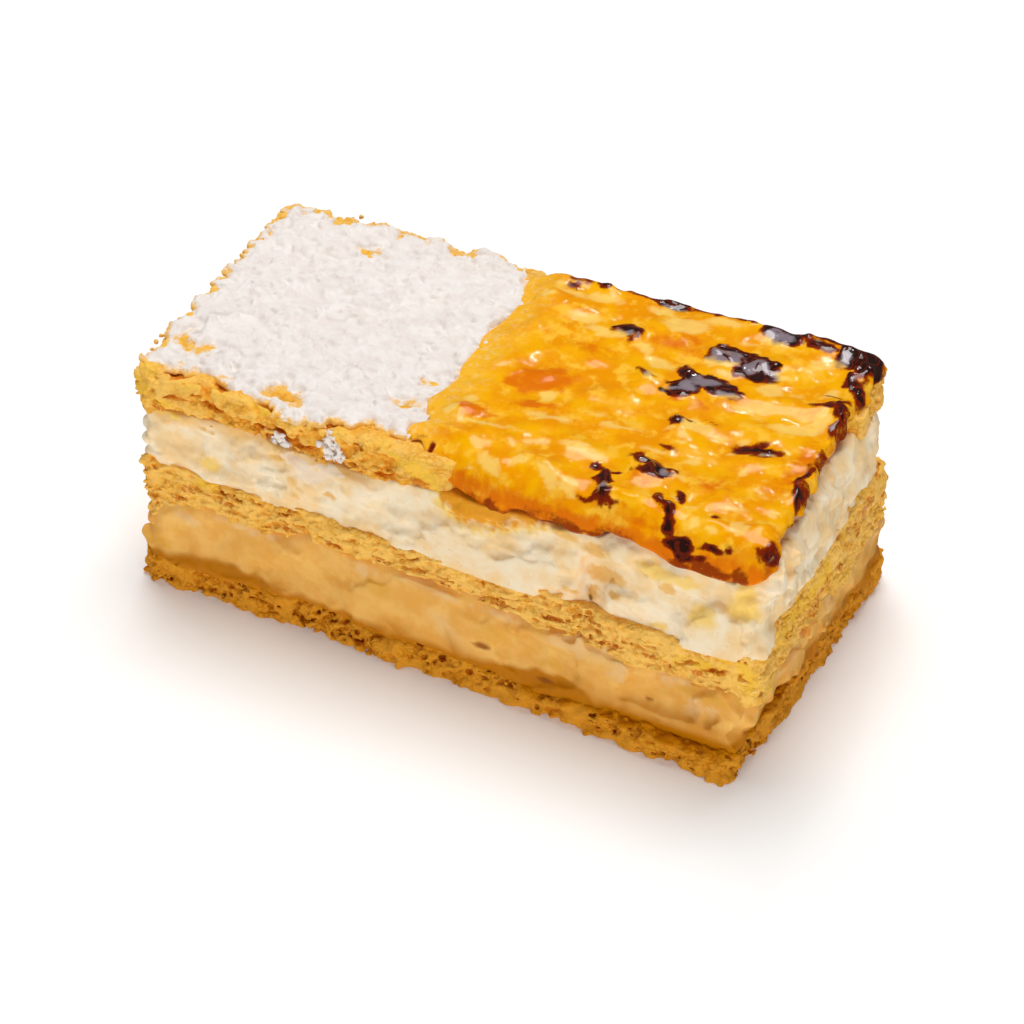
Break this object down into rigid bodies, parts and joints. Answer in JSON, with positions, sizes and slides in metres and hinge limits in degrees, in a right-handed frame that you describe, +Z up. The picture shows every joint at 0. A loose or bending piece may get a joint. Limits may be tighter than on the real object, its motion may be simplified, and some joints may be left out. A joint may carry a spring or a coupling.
{
  "type": "mille feuille slice",
  "caption": "Oblong cut slice of mille feuille: layers of pastry, custard and whipped cream, topped partly with icing sugar and partly with a glossy burnt yolk glaze.",
  "frame": {"origin": "on the table, under the middle of the slice's outline", "axes": "+X along the long cut front face from the sugared end to the glazed end, +Y from that face to the back, +Z up"},
  "size_m": [0.1146, 0.0602, 0.0455],
  "materials": {
    "base_crumb": "porous baked crumb, golden brown",
    "custard": "smooth moist custard, tan",
    "pastry_crumb": "flaky baked crumb, pale gold",
    "whipped_cream": "soft torn whipped cream, ivory",
    "burnt_yolk": "glossy burnt yolk glaze, orange with charred spots",
    "icing_sugar": "dull powdered sugar, off-white"
  },
  "bodies": {
    "root": {"base_pastry": "base_crumb", "custard": "custard", "middle_pastry": "pastry_crumb", "cream": "whipped_cream", "top_pastry": "pastry_crumb", "burnt_glaze": "burnt_yolk", "icing_sugar": "icing_sugar"}
  },
  "joints": []
}
